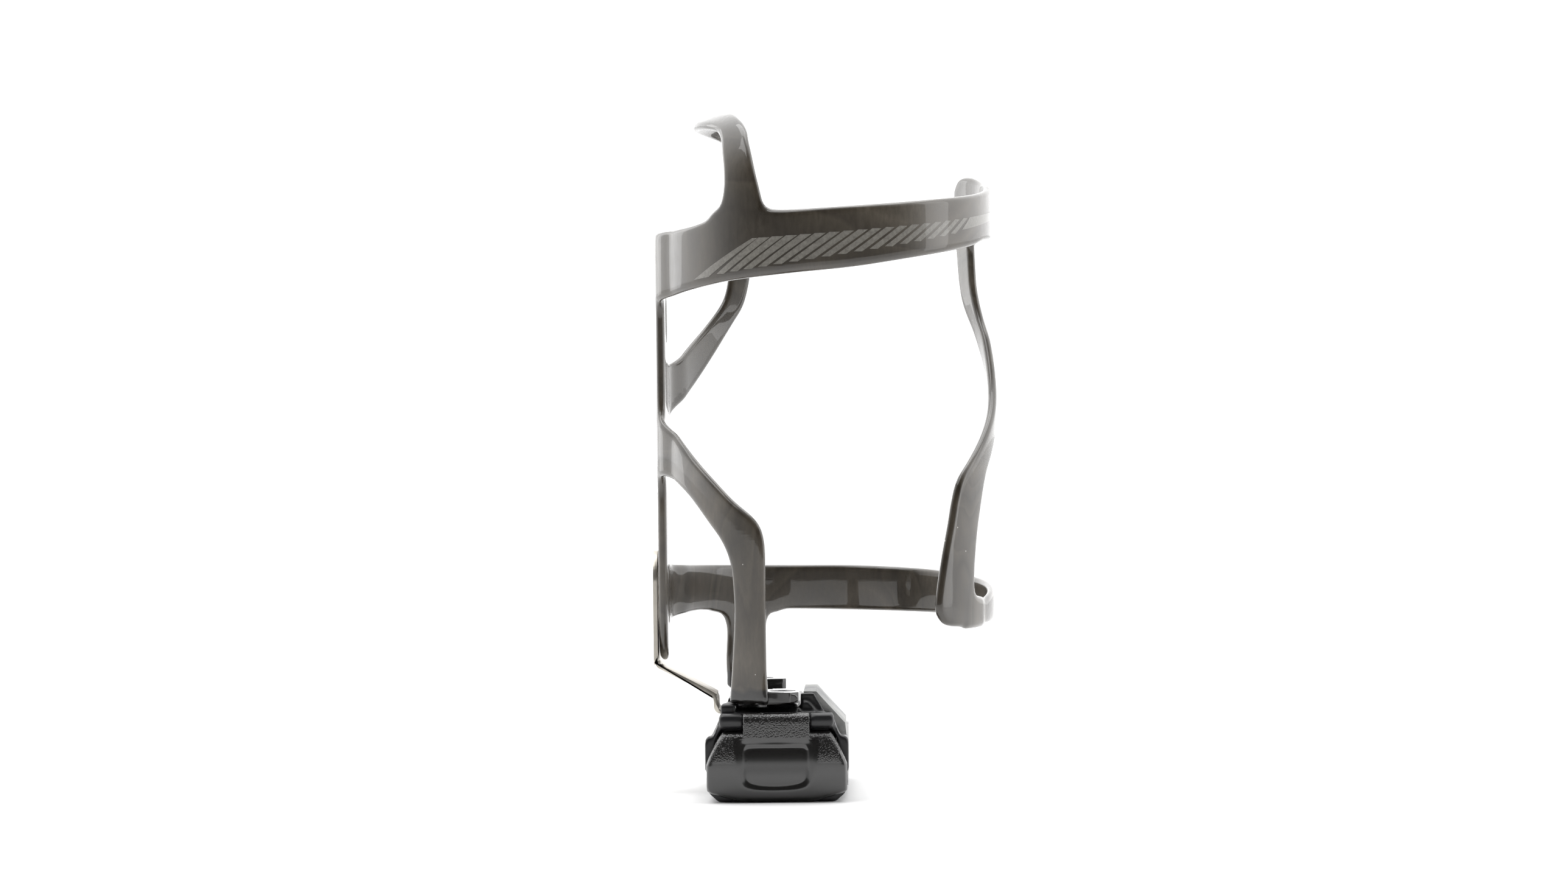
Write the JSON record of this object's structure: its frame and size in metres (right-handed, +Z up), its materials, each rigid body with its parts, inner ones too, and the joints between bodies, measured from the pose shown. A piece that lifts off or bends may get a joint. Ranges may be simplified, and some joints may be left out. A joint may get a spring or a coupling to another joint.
{
  "type": "bicycle bottle cage with tool holder",
  "caption": "Side-loading moulded bottle cage on a bent steel bracket, with a multi-tool in a sprung-door holder under its foot.",
  "frame": {"origin": "on the spine's rear face, midway between the two frame bolts", "axes": "+X out from the bicycle tube across the bottle, +Y away from the door end of the tool holder, +Z up along the bottle"},
  "size_m": [0.0802, 0.08, 0.1574],
  "materials": {
    "carbon": "gloss clear coat",
    "stainless": "brushed",
    "black_plastic": "satin",
    "door_plastic": "satin",
    "forged_alloy": "bare forged",
    "black_screw": "black oxide",
    "key_steel": "satin",
    "spring_wire": "bright"
  },
  "bodies": {
    "cage": {"cage_body": "carbon", "steel_bracket": "stainless", "holder_body": "black_plastic", "hinge_pin": "stainless", "door_spring": "spring_wire", "foot_screw_near": "black_screw", "foot_screw_far": "black_screw"},
    "door": {"holder_door": "door_plastic"},
    "tool": {"tool_plate_left": "forged_alloy", "tool_plate_right": "forged_alloy", "pivot_bolt_near": "key_steel", "pivot_bolt_far": "key_steel", "pivot_nut_near": "key_steel", "pivot_nut_far": "key_steel"},
    "hex_key_2": {"hex_key_2": "key_steel"},
    "hex_key_2_5": {"hex_key_2_5": "key_steel"},
    "hex_key_3": {"hex_key_3": "key_steel"},
    "hex_key_4": {"hex_key_4": "key_steel"},
    "hex_key_5": {"hex_key_5": "key_steel"},
    "torx_25": {"torx_25": "key_steel"}
  },
  "joints": [
    {"name": "door_hinge", "type": "hinge", "parent": "cage", "child": "door", "pos_m": [0.02765, -0.0369, -0.0593], "axis": [-1, 0, 0], "range_deg": [0, 100], "stiffness_Nm_per_rad": 0.012, "springref_deg": -34.38},
    {"name": "tool_slide", "type": "slide", "parent": "cage", "child": "tool", "axis": [0, 1, 0], "range_m": [0, 0.06]},
    {"name": "hex_key_2_hinge", "type": "hinge", "parent": "tool", "child": "hex_key_2", "pos_m": [0.02765, -0.0255, -0.069], "axis": [-1, 0, 0], "range_deg": [0, 100]},
    {"name": "hex_key_2_5_hinge", "type": "hinge", "parent": "tool", "child": "hex_key_2_5", "pos_m": [0.02765, 0.0275, -0.069], "axis": [1, 0, 0], "range_deg": [0, 180]},
    {"name": "hex_key_3_hinge", "type": "hinge", "parent": "tool", "child": "hex_key_3", "pos_m": [0.02765, -0.0255, -0.069], "axis": [-1, 0, 0], "range_deg": [0, 100]},
    {"name": "hex_key_4_hinge", "type": "hinge", "parent": "tool", "child": "hex_key_4", "pos_m": [0.02765, 0.0275, -0.069], "axis": [1, 0, 0], "range_deg": [0, 180]},
    {"name": "hex_key_5_hinge", "type": "hinge", "parent": "tool", "child": "hex_key_5", "pos_m": [0.02765, -0.0255, -0.069], "axis": [-1, 0, 0], "range_deg": [0, 100]},
    {"name": "torx_25_hinge", "type": "hinge", "parent": "tool", "child": "torx_25", "pos_m": [0.02765, 0.0275, -0.069], "axis": [1, 0, 0], "range_deg": [0, 180]}
  ]
}
